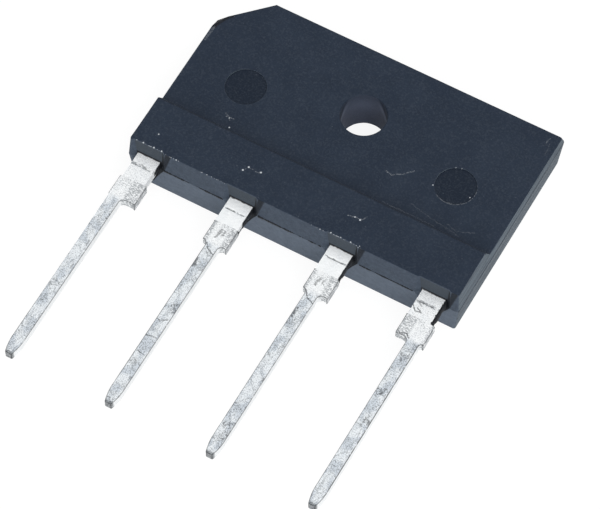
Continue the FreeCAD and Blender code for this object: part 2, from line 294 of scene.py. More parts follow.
def boreColour(epoxy, look):
    # the bore is lit between two slanting edges of shadow, and most along them
    xShare, yShare = look["boreAcross"]
    across = (epoxy.x * xShare + epoxy.y * yShare).apply("ABSOLUTE")
    fromShadow = across - look["boreShadow"] - (look["plate"] - epoxy.z) * look["boreSlant"]
    lit = epoxy.band(fromShadow, 0.08, -0.10)
    litEdge = lit * epoxy.band(fromShadow, -0.45, -0.05) * epoxy.band(epoxy.z, *look["litEdgeHeights"])
    deeper = epoxy.band(epoxy.z, *look["litHeights"])
    hole = epoxy.blend(lit * (0.30 + 0.70 * deeper), look["holeShade"], look["holeLit"])
    return epoxy.blend(litEdge * 0.8, hole, look["holeEdge"])


def pocketShade(epoxy, look):
    # painted shade beside the leads and on the right side of each pocket, whose sides there face away from
    # the light
    soft = epoxy.band(epoxy.z, *look["pocketTopHeights"]) * 0.35 + 0.55
    besideLead = epoxy.band(epoxy.z, *look["besideLeadHeights"])
    deep = strongest([epoxy.painted("pocketDark") * soft, epoxy.painted("pocketWall") * besideLead])
    height = epoxy.z - look["partingHeight"]
    fromRamps = [
        epoxy.x - place - look["rampStart"] - height * look["rampLean"] for place in look["rootPlaces"]
    ]
    shadeReach = height * look["shadeLean"]
    sideShade = strongest([
        epoxy.band(each - shadeReach, 0.07, -0.05) * epoxy.band(each, -0.20, -0.12) for each in fromRamps
    ])
    sideShade = sideShade * epoxy.band(epoxy.z, *look["pocketFootHeights"])
    sideShade = sideShade * epoxy.band(epoxy.ny, -0.3, -0.5)
    return strongest([deep, sideShade * 0.80])


def wallColour(epoxy, look):
    # the upright faces: clouded walls, the right end, the bore and the pockets round the roots. Painted
    # light: the walls are painted lighter than the top face for the low light that falls on them, and
    # lighter still below the parting line
    lower = epoxy.band(epoxy.z, *look["lowerWallHeights"]) * epoxy.band(epoxy.ny, -0.5, -0.9)
    wall = epoxy.blend(lower, look["wall"], look["lowerWall"])
    cloudy = epoxy.band(epoxy.noise(0.40, detail=4, roughness=0.65, shift=(1, 5, 0)), 0.36, 0.64)
    wall = epoxy.blend(0.10 * cloudy, wall, look["worn"])
    wall = epoxy.blend(0.14 - 0.14 * cloudy, wall, look["dark"])
    wall = epoxy.blend(epoxy.band(epoxy.nx, 0.6, 0.9), wall, rightEndColour(epoxy, look))
    wall = epoxy.blend(epoxy.painted("holeWall"), wall, boreColour(epoxy, look))
    wall = epoxy.blend(epoxy.painted("pocketWall"), wall, look["pocket"])
    return epoxy.blend(pocketShade(epoxy, look), wall, look["dark"])


def addCrest(epoxy, look, colour):
    # painted shade: a dark wavering line where the band starts to slope down to the plate
    waver = 0.10 * (epoxy.noise(0.35, detail=3, shift=(2, 0, 7)) - 0.5)
    fromCrest = (epoxy.y - look["bandEdge"] + waver).apply("ABSOLUTE")
    crest = epoxy.band(fromCrest, *look["crestWidths"]) * epoxy.band(epoxy.z, *look["crestHeights"])
    return epoxy.blend(crest * 0.75, colour, look["crest"])


def addMarkRims(epoxy, look, colour):
    # pale broken rims round the ejector marks, strongest below and to the right
    rims = strongest([
        epoxy.ringMask(place, look["rimRadius"], look["rimHalfWidth"]) for place in look["markPlaces"]
    ])
    x, y = look["markPlaces"][1]
    lowOrRight = epoxy.band(epoxy.y * 0.75 - (epoxy.x - x) * 0.65 - y, 0.6, -0.5)
    broken = epoxy.band(epoxy.noise(0.16, detail=3, shift=(0, 6, 1)), 0.44, 0.60)
    return epoxy.blend(rims * broken * (0.02 + 0.13 * lowOrRight), colour, look["scuff"])


def addBrokenCorner(epoxy, look, colour):
    # its dark face, a dark ragged line beside it and a pale flake
    colour = epoxy.blend(epoxy.painted("fracture"), colour, look["fracture"])
    ragged = epoxy.band(epoxy.noise(0.14, detail=3, shift=(4, 2, 2)), 0.30, 0.46)
    chip = epoxy.strokeMask(look["chipLine"], 0.24) * epoxy.band(epoxy.z, *look["chipHeights"]) * ragged
    colour = epoxy.blend(chip * 0.95, colour, look["fracture"])
    flake = epoxy.strokeMask(look["flakeLine"], 0.11) * epoxy.band(epoxy.z, *look["flakeHeights"])
    flake = flake * epoxy.band(epoxy.noise(0.10, detail=3, shift=(1, 7, 2)), 0.40, 0.55)
    return epoxy.blend(flake * 0.16, colour, look["scuff"])


def addWear(epoxy, look, colour, up):
    # worn and chipped edges, scuffs and flecks
    width = look["scuffWidth"]
    lines = [epoxy.strokeMask(points, width, 0.24) * share for points, share in scuffLines.values()]
    broken = epoxy.band(epoxy.noise(0.09, detail=2), 0.40, 0.60)
    spots = [epoxy.spotMask((x, y), radius, radius * 0.5) for x, y, radius in scuffSpots]
    scuffs = [strongest(lines) * broken * up, strongest(spots) * epoxy.band(epoxy.nz, 0.2, 0.4)]
    edgeWear = epoxy.painted("edgeWear")
    worn = edgeWear * epoxy.band(epoxy.noise(0.45, detail=3), 0.46, 0.72)
    colour = epoxy.blend(worn * 0.22, colour, look["worn"])
    chipped = edgeWear * epoxy.band(epoxy.noise(0.12, detail=2, shift=(5, 5, 5)), 0.53, 0.62)
    edgeBreaks = strongest([epoxy.strokeMask(points, 0.16) for points in edgeBreakLines])
    colour = epoxy.blend(chipped * edgeBreaks * 0.8, colour, look["scuff"])
    return epoxy.blend(strongest(scuffs), colour, look["scuff"])


def makeEpoxy():
    epoxy = Finish("mouldedEpoxy")
    look = {**places, **epoxyLook}
    up = epoxy.band(epoxy.nz, 0.75, 0.95)
    broad = epoxy.noise(2.6, detail=2)
    face = epoxy.blend(epoxy.band(broad, 0.35, 0.65), look["faceShade"], look["face"])
    # painted light: upright faces take the lighter wall colours, the top face its own dark colour
    colour = epoxy.blend(up, wallColour(epoxy, look), face)
    sloping = epoxy.band(epoxy.ny, 0.3, 0.6) * epoxy.band(epoxy.z, *look["slopeHeights"])
    colour = epoxy.blend(sloping, colour, look["slope"])
    colour = addCrest(epoxy, look, colour)
    colour = epoxy.blend(epoxy.painted("holeRim"), colour, look["face"])
    markFloor = epoxy.painted("markFloor")
    colour = epoxy.blend(markFloor, colour, look["mark"])
    colour = addMarkRims(epoxy, look, colour)
    colour = addBrokenCorner(epoxy, look, colour)
    colour = addWear(epoxy, look, colour, up)
    fine = epoxy.noise(0.13, detail=3, roughness=0.7)
    middle = epoxy.noise(0.32, detail=2, shift=(3, 1, 2))
    grain = epoxy.band(fine, 0.30, 0.72)
    mottle = epoxy.band(middle, 0.35, 0.70)
    colour = epoxy.blend(0.17 * grain + 0.05 * mottle - 0.085, colour, look["worn"])
    colour = epoxy.blend((1 - grain) * (0.10 + 0.10 * mottle), colour, look["dark"])
    specks = epoxy.band(epoxy.noise(0.16, detail=1, shift=(9, 4, 6)), 0.74, 0.80)
    colour = epoxy.blend(specks * 0.30, colour, look["worn"])
    colour = epoxy.blend(epoxy.painted("grooveLine"), colour, look["dark"])
    roughness = 0.60 - markFloor * 0.15 + grain * 0.08 + sloping * 0.35
    height = fine * (1 - markFloor * 0.7) + middle * 0.5
    return epoxy.close(colour, roughness, 0.0, height, 0.022, look["specular"])


def makeResin():
    # the thin dark film that ran out along the parting line and the sides of the leads
    resin = Finish("darkResin")
    patch = resin.noise(0.2, detail=3)
    colour = resin.blend(patch, (0.004, 0.005, 0.007, 1), (0.013, 0.016, 0.022, 1))
    return resin.close(colour, 0.5 + 0.2 * patch, 0.0, patch, 0.03, 0.25)


tinLook = {
    "bright": (0.94, 0.96, 0.97, 1),
    "away": (0.83, 0.87, 0.90, 1),
    "dull": (0.56, 0.62, 0.69, 1),
    "grey": (0.25, 0.27, 0.29, 1),
    "dark": (0.045, 0.05, 0.055, 1),
    # the colour of resin, also used as painted shade at the roots and on the side faces
    "resin": (0.012, 0.015, 0.02, 1),
    "side": (0.93, 0.95, 0.96, 1),
    "metallic": 0.06,
    "specular": 0.25,
    "pitch": 7.5,
    "firstLead": -11.45,
    # pairs of places: where a mask starts and where it is full
    "damBarNear": (-11.62, -11.74),
    "damBarFar": (-13.55, -13.35),
    "narrowFrom": (-13.1, -13.7),
    "denseFrom": (-13.0, -12.1),
    "coinedFrom": (0.42, 0.62),
    "outerLeadFrom": (8.0, 9.0),
    "rootResinAndShadeFrom": (-9.59, -9.54),
    "tipFrom": (-26.62, -26.80),
    "creaseWidth": 0.06,
    # resin and painted shade on the right side faces: from x, to x, and where it ends along the lead
    "sideResinAndShade": ((-13.0, -8.0, -10.3), (-8.0, 0.0, -11.0), (0.0, 8.0, -11.6), (8.0, 13.0, -11.7)),
}

# marks on the marked side of the leads, in millimetres from the screw hole
creaseLines = [
    [(-4.64, -19.96), (-4.09, -20.00), (-3.64, -19.75)],
    [(-4.53, -21.44), (-4.08, -21.31), (-3.64, -21.28)],
    [(-4.21, -22.61), (-3.69, -22.74)],
    [(-11.11, -15.08), (-10.54, -15.12)],
    [(-12.38, -18.59), (-11.88, -18.66)],
    [(-4.36, -13.42), (-4.10, -13.80), (-3.50, -14.10)],
    [(3.10, -13.40), (3.42, -13.85), (3.97, -14.10)],
    [(9.70, -13.02), (9.95, -13.22), (10.35, -13.05), (10.66, -13.30)],
    [(9.70, -10.95), (10.05, -11.30), (10.45, -11.25), (10.10, -11.05)],
]
# dents that the cutting tool left, drawn as short thick strokes: points, half width and strength
toolDents = [
    ([(-4.06, -12.80), (-4.02, -12.43), (-3.96, -12.16)], 0.13, 0.70),
    ([(-3.77, -12.52), (-3.68, -12.20)], 0.10, 0.60),
    ([(-3.75, -12.45), (-3.66, -12.52)], 0.08, 0.8),
    ([(3.40, -12.77), (3.44, -12.39), (3.50, -12.10)], 0.12, 0.65),
    ([(3.76, -12.45), (3.84, -12.14)], 0.09, 0.60),
    ([(3.84, -12.48), (3.92, -12.52)], 0.06, 0.7),
    ([(-4.26, -15.40), (-4.30, -14.70)], 0.13, 0.9),
    ([(3.28, -15.60), (3.24, -14.80)], 0.12, 0.9),
    ([(10.75, -14.50), (11.05, -15.05)], 0.12, 0.7),
    ([(11.16, -17.30), (11.04, -17.80)], 0.12, 0.75),
    ([(11.12, -19.85), (10.98, -20.45)], 0.07, 0.6),
    ([(-11.16, -17.1), (-11.2, -17.5)], 0.10, 0.6),
    ([(-11.20, -19.1), (-11.2, -19.5)], 0.08, 0.6),
    ([(-11.15, -10.40), (-10.75, -10.48)], 0.09, 0.6),
    ([(-11.85, -10.56), (-11.60, -10.54)], 0.08, 0.5),
    ([(9.80, -10.52), (10.30, -10.80)], 0.10, 0.6),
    ([(10.55, -10.48), (10.95, -10.55)], 0.08, 0.5),
]


def addSpeckles(tin, look, colour, speckle, patches, narrow, damZone, outerLead):
    # grey dots all over, thicker on the narrow parts, and darker ones in places
    dull = tin.band(patches, 0.42, 0.60)
    rootSpeck = 0.50 - 0.42 * (1 - outerLead)
    dense = 0.40 + 0.50 * tin.band(tin.y, *look["denseFrom"]) * tin.band(patches, 0.35, 0.60)
    dotShare = strongest([narrow * (0.65 + 0.35 * dull), damZone * dense, rootSpeck])
    dots = tin.band(speckle, 0.50, 0.60) * dotShare
    colour = tin.blend(dots * 0.9, colour, look["grey"])
    deepDots = tin.band(tin.noise(0.10, detail=2, roughness=0.8, shift=(6, 1, 4)), 0.56, 0.64)
    deepShare = damZone * dense * 0.45 + narrow * (0.25 + 0.30 * dull)
    colour = tin.blend(deepDots * deepShare, colour, look["dark"])
    cluster = tin.band(tin.noise(0.9, detail=2, shift=(2, 9, 0)), 0.54, 0.64) * narrow
    clusterDots = tin.band(tin.noise(0.15, detail=3, roughness=0.8, shift=(5, 0, 2)), 0.49, 0.57)
    return tin.blend(cluster * clusterDots * 0.75, colour, look["dark"])


def seamMask(tin):
    # thin lines between large long cells
    sockets = {"Vector": tin.place, "Scale": (0.9, 0.5, 0.2)}
    mapping = tin.make("ShaderNodeMapping", {}, sockets)
    cells = tin.make(
        "ShaderNodeTexVoronoi", {"feature": "DISTANCE_TO_EDGE"}, {"Vector": mapping, "Scale": 1.1},
        output="Distance",
    )
    return tin.band(cells, 0.06, 0.015)


def sideResinAndShadeMask(tin, look):
    zones = [
        tin.band(tin.x, left, left + 0.1) * tin.band(tin.x, right, right - 0.1)
        * tin.band(tin.y, end - 0.1, end + 0.1)
        for left, right, end in look["sideResinAndShade"]
    ]
    patchy = tin.band(tin.noise(0.22, detail=3), 0.26, 0.38)
    return strongest(zones) * tin.band(tin.nx, 0.15, 0.35) * patchy


def makeTin():
    tin = Finish("tinPlating")
    look = {**places, **tinLook}
    up = tin.band(tin.nz, 0.6, 0.9)
    shifted = tin.x + (look["pitch"] / 2 - look["firstLead"])
    across = shifted.apply("FLOORED_MODULO", look["pitch"]) - look["pitch"] / 2
    off = across.apply("ABSOLUTE")
    damZone = tin.band(tin.y, *look["damBarNear"]) * tin.band(tin.y, *look["damBarFar"])
    narrow = tin.band(tin.y, *look["narrowFrom"])
    outerLead = tin.band(tin.x.apply("ABSOLUTE"), *look["outerLeadFrom"])
    speckle = tin.noise(0.085, detail=2, roughness=0.8)
    patches = tin.noise(0.6, detail=3, stretch=(1, 0.6, 1), shift=(2, 4, 0))
    dull = tin.band(patches, 0.42, 0.60)
    # painted light: the narrow parts, which get more light than the roots in the body's shade, are painted
    # darker than the roots
    colour = tin.blend(narrow, look["bright"], look["away"])
    colour = tin.blend(strongest([dull * narrow * 0.70, dull * 0.10]), colour, look["dull"])
    colour = addSpeckles(tin, look, colour, speckle, patches, narrow, damZone, outerLead)
    streak = tin.noise(0.08, detail=2, stretch=(0.5, 1, 1), shift=(1, 0, 3))
    coined = damZone * tin.band(off, *look["coinedFrom"]) * tin.band(streak, 0.40, 0.58)
    colour = tin.blend(coined * 0.75, colour, look["grey"])
    seams = seamMask(tin) * narrow * tin.band(speckle, 0.42, 0.56)
    colour = tin.blend(seams * 0.6, colour, look["grey"])
    creases = strongest([tin.strokeMask(points, look["creaseWidth"]) for points in creaseLines])
    dents = strongest([tin.strokeMask(points, width, 0.22) * share for points, width, share in toolDents])
    ragged = tin.band(tin.noise(0.12, detail=3, shift=(3, 3, 3)), 0.34, 0.50)
    pressed = strongest([creases * tin.band(speckle, 0.34, 0.5), dents * ragged]) * up
    colour = tin.blend(pressed * 0.85, colour, look["dark"])
    # resin and painted shade where the lead leaves the body
    rootResinAndShade = tin.band(tin.y + 0.22 * tin.noise(0.3, detail=3), *look["rootResinAndShadeFrom"]) * up
    colour = tin.blend(rootResinAndShade * 0.9, colour, look["resin"])
    # painted light: the side faces are painted near white, as they get less light than the top
    colour = tin.blend(1 - up, colour, look["side"])
    rubbed = tin.band(tin.noise(0.12, detail=3, stretch=(1, 0.35, 1)), 0.36, 0.56)
    colour = tin.blend(damZone * (1 - up) * rubbed * 0.8, colour, look["grey"])
    # resin and painted shade on the right side faces near the body
    colour = tin.blend(sideResinAndShadeMask(tin, look) * 0.95, colour, look["resin"])
    tipEnd = tin.band(tin.y, *look["tipFrom"])
    colour = tin.blend(tipEnd * 0.75, colour, look["grey"])
    colour = tin.blend(tipEnd * tin.band(speckle, 0.40, 0.56) * 0.7, colour, look["dark"])
    # painted shade: a dark broken outline along the rounded edges of the tin
    outline = tin.painted("edgeWear") * tin.band(tin.noise(0.35, detail=3), 0.22, 0.46)
    colour = tin.blend(outline * 0.92, colour, look["dark"])
    fromNick = (tin.y - look["nickLine"] + 0.08 * (patches - 0.5)).apply("ABSOLUTE")
    nickBlotch = tin.band(fromNick - 0.05 * outerLead, 0.09, 0.04)
    nickBlotch = nickBlotch * tin.band(tin.noise(0.2, detail=3, shift=(0, 2, 5)), 0.44, 0.56) * up
    colour = tin.blend(nickBlotch * 0.8, colour, look["grey"])
    nickGaps = tin.band(tin.noise(0.45, detail=3, shift=(7, 7, 0)), 0.42, 0.52)
    colour = tin.blend(tin.painted("grooveLine") * nickGaps * 0.75, colour, look["dark"])
    height = tin.noise(0.16, detail=3) + 0.5 * speckle
    return tin.close(colour, 0.45 + 0.15 * dull, look["metallic"], height, 0.03, look["specular"])


def makeInner(name, bright, shade, size, roughness, metallic):
    inner = Finish(name)
    patch = inner.noise(size, detail=3)
    colour = inner.blend(inner.band(patch, 0.35, 0.65), bright, shade)
    return inner.close(colour, roughness + 0.1 * patch, metallic, patch, 0.01)


resinFinish = makeResin()
finishes = {
    "epoxy": makeEpoxy(),
    "tinned_copper": makeTin(),
    "silicon": makeInner("sawnSilicon", (0.28, 0.29, 0.32, 1), (0.20, 0.21, 0.24, 1), 0.4, 0.25, 0.0),
    "solder": makeInner("greySolder", (0.60, 0.60, 0.62, 1), (0.45, 0.46, 0.48, 1), 0.15, 0.42, 1.0),
    "copper": makeInner("rolledCopper", (0.72, 0.42, 0.28, 1), (0.60, 0.33, 0.21, 1), 0.25, 0.32, 1.0),
}
print("finishes made:", len(finishes))


def cutAlong(work, axis, start, end, step, chosen):
    # slices the chosen faces by evenly spaced planes, so that marks and dents have points to move
    normal = Vector([1.0 if axis == each else 0.0 for each in range(3)])
    count = int(round((end - start) / step))
    for index in range(count + 1):
        level = start + (end - start) * index / count
        faces = []
        for face in work.faces:
            if chosen(face):
                values = [vert.co[axis] for vert in face.verts]
                if min(values) < level - 1e-4 and max(values) > level + 1e-4:
                    faces.append(face)
        if faces:
            edges = {edge for face in faces for edge in face.edges}
            verts = {vert for face in faces for vert in face.verts}
            bmesh.ops.bisect_plane(
                work,
                geom=faces + list(edges) + list(verts),
                dist=1e-4,
                plane_co=normal * level,
                plane_no=normal,
            )


def takeCopy(node):
    # a copy of a CAD node in millimetres, its loose triangles merged into whole faces
    work = bmesh.new()
    work.from_mesh(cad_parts[node].data)
    bmesh.ops.scale(work, vec=(1 / mm, 1 / mm, 1 / mm), verts=work.verts)
    bmesh.ops.remove_doubles(work, verts=work.verts, dist=0.0005)
    bmesh.ops.dissolve_limit(work, angle_limit=math.radians(0.6), verts=work.verts, edges=work.edges)
    return work


def breakEdges(work, size, chosen):
    # rounds the sharp edges; the faces of the rounding are remembered in a face layer
    strip = work.faces.layers.int.new("strip")
    leastAngle = math.radians(size["sharpAngle"])
    sharp = [
        edge for edge in work.edges
        if len(edge.link_faces) == 2 and edge.calc_face_angle(0) > leastAngle and chosen(edge)
    ]
    made = bmesh.ops.bevel(
        work, geom=sharp, offset=size["edgeRound"], offset_type="OFFSET", segments=size["roundSegments"],
        profile=0.5, affect="EDGES", clamp_overlap=False, loop_slide=True,
    )
    for face in made["faces"]:
        if face.is_valid:
            face[strip] = 1
    return strip


def refineRing(work, centre, radii, cuts):
    # gives a coarse ring of short edges more points, each on the true circle
    def ringOf(edge):
        reaches = [math.hypot(vert.co.x - centre[0], vert.co.y - centre[1]) for vert in edge.verts]
        flat = abs(edge.verts[0].co.z - edge.verts[1].co.z) < 0.002
        for radius in radii:
            if flat and all(abs(reach - radius) < 0.012 for reach in reaches):
                return radius
        return None

    rings = {edge: ringOf(edge) for edge in work.edges}
    rings = {edge: radius for edge, radius in rings.items() if radius}
    edges = list(rings)
    made = bmesh.ops.subdivide_edges(work, edges=edges, cuts=cuts, use_grid_fill=True)
    for item in made["geom_inner"]:
        if isinstance(item, bmesh.types.BMVert):
            dx, dy = item.co.x - centre[0], item.co.y - centre[1]
            reach = math.hypot(dx, dy)
            nearest = min(radii, key=lambda radius: abs(radius - reach))
            if abs(nearest - reach) < 0.05:
                item.co.x = centre[0] + dx * nearest / reach
                item.co.y = centre[1] + dy * nearest / reach


def keepInBox(work, node):
    # nothing may stand out of the CAD node's own box
    low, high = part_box(node)
    for vert in work.verts:
        for axis in range(3):
            vert.co[axis] = min(max(vert.co[axis], low[axis] / mm), high[axis] / mm)


def cornerNormals(work, roundWall=None):
    # flat faces keep their own normal up to the rounding, and the rounding runs smoothly between them
    strip = work.faces.layers.int.get("strip")
    likeness = math.cos(math.radians(35))
    normals = []
    for face in work.faces:
        onStrip = strip is not None and face[strip]
        for loop in face.loops:
            wall = roundWall(face, loop.vert) if roundWall else None
            if wall:
                normals.append(wall)
                continue
            total = Vector((0, 0, 0))
            flats = [other for other in loop.vert.link_faces if strip is None or not other[strip]]
            if onStrip:
                for other in flats or loop.vert.link_faces:
                    total += other.normal * other.calc_area()
            else:
                for other in flats:
                    if other.normal.dot(face.normal) > likeness:
                        total += other.normal * other.calc_area()
            normals.append(total.normalized() if total.length > 0 else face.normal.copy())
    return normals


def addObject(name, data):
    made = bpy.data.objects.new(name, data)
    bpy.context.scene.collection.objects.link(made)
    return made


def finishPiece(work, name, slotName, nodes, roundWall=None):
    # bmesh in millimetres to an object in metres, which rides on the body in place of its nodes
    bmesh.ops.triangulate(work, faces=[face for face in work.faces if len(face.verts) > 4])
    work.normal_update()
    normals = cornerNormals(work, roundWall)
    bmesh.ops.scale(work, vec=(mm, mm, mm), verts=work.verts)
    mesh = bpy.data.meshes.new(name)
    work.to_mesh(mesh)
    work.free()
    mesh.shade_smooth()
    mesh.normals_split_custom_set(normals)
    mesh.materials.append(finishes[slotName])
    piece = addObject(name, mesh)
    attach(piece, "root")
    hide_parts(*nodes)


bodySizes = {
    "halfWidth": 12.5,
    "farEdge": 5.2,
    "cornerCut": 3,
    "edgeRound": 0.055,
    "roundSegments": 2,
    "sharpAngle": 28,
    "leastEdge": 0.02,
    "innerReach": 0.75,
    "outerHeights": (0.5, 3.3),
    "leadExitHeights": (2.4, 3.2),
    "pocketHeights": (0.5, 4.5),
    "stepHeight": 4.4,
    "gridX": (-12.4, 12.4),
    "gridY": (-9.8, 5.1),
    "gridStep": 0.35,
    "dentDepth": 0.018,
    "holeRadius": 1.6,
    "holeRimRadius": 1.66,
    "markRadius": 1.42,
    "ringCuts": 3,
    "pocketFloor": -9.62,
    "grooveHalfWidth": 0.05,
    "grooveDepth": 0.05,
    "grooveStep": 0.14,
    "pocketReach": 1.5,
    "pocketFarLeft": -11.9,
    "fractureFacing": (-0.63, 0.38, 0.68),
    "fractureRight": -11.3,
    "fractureFoot": 2.9,
}


def makeMouldedBody():
    size = {**places, **bodySizes}
    work = takeCopy("moulded_body")
    refineRing(work, (0, 0), (size["holeRadius"], size["holeRimRadius"]), size["ringCuts"])
    for place in size["markPlaces"]:
        refineRing(work, place, (size["markRadius"],), size["ringCuts"])

    def nearHole(place):
        return math.hypot(place.x, place.y) < size["holeRadius"] + 0.2

    def nearMark(place):
        reach = size["markRadius"] + 0.1
        return any(math.hypot(place.x - x, place.y - y) < reach for x, y in size["markPlaces"])

    def nearRoot(x):
        return any(abs(x - root) < size["pocketReach"] for root in size["rootPlaces"])

    def isOuter(place):
        fromLeft = place.x + size["halfWidth"]
        fromFarEdge = size["farEdge"] - place.y
        fromSide = size["halfWidth"] - abs(place.x)
        fromEnds = min(place.y - size["leadEdge"], fromFarEdge)
        fromCut = (fromLeft + fromFarEdge - size["cornerCut"]) / math.sqrt(2)
        low, high = size["outerHeights"]
        nearFaces = place.z < low or place.z > high
        return nearHole(place) or nearFaces or min(fromSide, fromEnds, fromCut) < size["innerReach"]

    def isOuterEdge(edge):
        middle = (edge.verts[0].co + edge.verts[1].co) / 2
        leadFoot, leadTop = size["leadExitHeights"]
        atLead = 0.2 < middle.y - size["leadEdge"] < 0.8 and leadFoot < middle.z < leadTop
        circular = middle.z > 1 and (nearHole(middle) or nearMark(middle))
        pocketFoot, pocketTop = size["pocketHeights"]
        inPocket = nearRoot(middle.x) and middle.y < size["pocketFloor"] + 0.05
        pocketCorner = inPocket and pocketFoot < middle.z < pocketTop
        atStep = abs(middle.y - size["bandEdge"]) < 0.1 and middle.z > size["stepHeight"]
        skipped = atLead or circular or pocketCorner or atStep or not edge.is_convex
        return isOuter(middle) and edge.calc_length() > size["leastEdge"] and not skipped

    strip = breakEdges(work, size, isOuterEdge)

    def isOuterFace(face):
        return isOuter(face.calc_center_median())

    def cutGrid(step, chosen):
        for axis, (start, end) in enumerate((size["gridX"], size["gridY"])):
            cutAlong(work, axis, start, end, step, chosen)

    cutGrid(size["gridStep"], isOuterFace)
    half = size["grooveHalfWidth"]
    parting = size["partingHeight"]

    def isWallFace(face):
        return isOuterFace(face) and abs(face.normal.z) < 0.8 and not nearHole(face.calc_center_median())

    work.normal_update()
    cutAlong(work, 2, parting - half, parting + half, 2 * half, isWallFace)

    def isGrooveFace(face):
        return isWallFace(face) and abs(face.calc_center_median().z - parting) < half

    cutGrid(size["grooveStep"], isGrooveFace)
    work.normal_update()
    painted = ("pocketWall", "pocketDark", "markFloor", "holeWall", "holeRim", "fracture")
    layers = {name: work.faces.layers.float.new(name) for name in painted}
    fracture = Vector(size["fractureFacing"]).normalized()
    edgeWearAndShadeLayer = work.verts.layers.float.new("edgeWear")
    grooveLayer = work.verts.layers.float.new("grooveLine")
    for face in work.faces:
        middle = face.calc_center_median()
        inPocket = nearRoot(middle.x) and middle.x > size["pocketFarLeft"]
        recessed = middle.y > size["leadEdge"] + 0.01 and middle.y < size["pocketFloor"] + 0.02
        onFloor = abs(middle.y - size["pocketFloor"]) < 0.03 and face.normal.y < -0.985
        if inPocket and recessed and not face[strip]:
            if onFloor:
                face[layers["pocketWall"]] = 1.0
            # pocket sides that face away from the light are marked for painted shade
            elif face.normal.x < -0.2:
                face[layers["pocketDark"]] = 1.0
        if nearMark(middle) and middle.z < size["plate"] - 0.01 and face.normal.z > 0.9:
            face[layers["markFloor"]] = 1.0
        atCorner = middle.x < size["fractureRight"] and middle.z > size["fractureFoot"]
        if face.normal.dot(fracture) > 0.96 and atCorner:
            face[layers["fracture"]] = 1.0
        if nearHole(middle) and abs(face.normal.z) < 0.3:
            face[layers["holeWall"]] = 1.0
        elif nearHole(middle) and abs(face.normal.z) < 0.9:
            face[layers["holeRim"]] = 1.0
    for vert in work.verts:
        onStrip = all(face[strip] for face in vert.link_faces)
        wallOnly = all(abs(face.normal.z) < 0.8 for face in vert.link_faces)
        atParting = abs(vert.co.z - parting) < 0.004 and wallOnly and isOuter(vert.co)
        inPocket = nearRoot(vert.co.x) and vert.co.y < size["pocketFloor"] + 0.3
        if atParting and not nearHole(vert.co) and not inPocket:
            onLeadSide = vert.co.y < size["leadEdge"] + 0.1
            dash = noise.noise(Vector((vert.co.x * 1.1, 0.3, 4.2))) if onLeadSide else 0.5
            depth = min(max(dash * 6.0 + 0.7, 0.40), 1.0)
            vert[grooveLayer] = depth
            push = Vector((vert.normal.x, vert.normal.y, 0)).normalized()
            vert.co -= push * size["grooveDepth"] * depth
        elif onStrip:
            vert[edgeWearAndShadeLayer] = 1.0
            grain = noise.noise(vert.co * 2.3) + 0.5 * noise.noise(vert.co * 6.1)
            vert.co -= vert.normal * size["dentDepth"] * max(0.0, grain)
    keepInBox(work, "moulded_body")

    def roundWall(face, vert):
        # the bore is shaded as a true cylinder
        if abs(face.normal.z) < 0.2 and math.hypot(vert.co.x, vert.co.y) < size["holeRadius"] + 0.01:
            return Vector((-vert.co.x, -vert.co.y, 0)).normalized()
        return None

    print("parting groove points:", sum(1 for vert in work.verts if vert[grooveLayer] > 0))
    finishPiece(work, "moulded_body_worn", "epoxy", ["moulded_body"], roundWall)


leadSizes = {
    "edgeRound": 0.075,
    "roundSegments": 2,
    "sharpAngle": 28,
    "leastEdge": 0.02,
    "cutsAlong": (-26.8, -9.95),
    "cutHeights": (2.6, 3.0),
    "lengthStep": 0.20,
    "widthStep": 0.15,
    "heightStep": 0.2,
    "waveDepth": 0.012,
    "nickDepth": 0.05,
    "outerLimit": -9.55,
    "burrLength": 0.13,
    "burrReach": 0.12,
    "damBarEnd": -13.3,
    "top": 3.15,
}


def makeLead(name):
    size = {**places, **leadSizes}
    work = takeCopy(name)

    def isOuter(place):
        return place.y < size["outerLimit"]

    def isOuterEdge(edge):
        middle = (edge.verts[0].co + edge.verts[1].co) / 2
        inNick = abs(middle.y - size["nickLine"]) < 0.2 and middle.z > 3.0 and edge.calc_length() < 1.3
        nickEdge = inNick and all(abs(vert.co.y - size["nickLine"]) < 0.1 for vert in edge.verts)
        outside = all(isOuter(vert.co) for vert in edge.verts)
        return outside and edge.calc_length() > size["leastEdge"] and not nickEdge

    strip = breakEdges(work, size, isOuterEdge)

    def isOuterFace(face):
        return isOuter(face.calc_center_median())

    xs = [vert.co.x for vert in work.verts if isOuter(vert.co)]
    cutAlong(work, 1, *size["cutsAlong"], size["lengthStep"], isOuterFace)
    cutAlong(work, 0, min(xs), max(xs), size["widthStep"], isOuterFace)
    cutAlong(work, 2, *size["cutHeights"], size["heightStep"], isOuterFace)

    work.normal_update()
    edgeWearAndShadeLayer = work.verts.layers.float.new("edgeWear")
    grooveLayer = work.verts.layers.float.new("grooveLine")
    right = max(vert.co.x for vert in work.verts if abs(vert.co.y - size["damBarEnd"]) < 0.15)
    for vert in work.verts:
        if vert.co.y > size["leadEdge"] - 0.1:
            continue
        inNick = abs(vert.co.y - size["nickLine"]) < 0.09 and vert.co.z > 3.02
        if inNick and vert.co.z < size["top"] - 0.02:
            vert[grooveLayer] = 1.0
            continue
        push = -size["waveDepth"] * abs(noise.noise(vert.co * 1.9))
        if vert.link_faces and all(face[strip] for face in vert.link_faces):
            vert[edgeWearAndShadeLayer] = 1.0
            push -= size["nickDepth"] * max(0.0, noise.noise(vert.co * 3.7) - 0.12)
        vert.co += vert.normal * push
        fromCorner = math.hypot(vert.co.x - right, vert.co.y - size["damBarEnd"])
        if fromCorner < size["burrReach"]:
            vert.co.y -= size["burrLength"] * (1 - fromCorner / size["burrReach"])
    keepInBox(work, name)
    finishPiece(work, name + "_plated", "tinned_copper", [name])


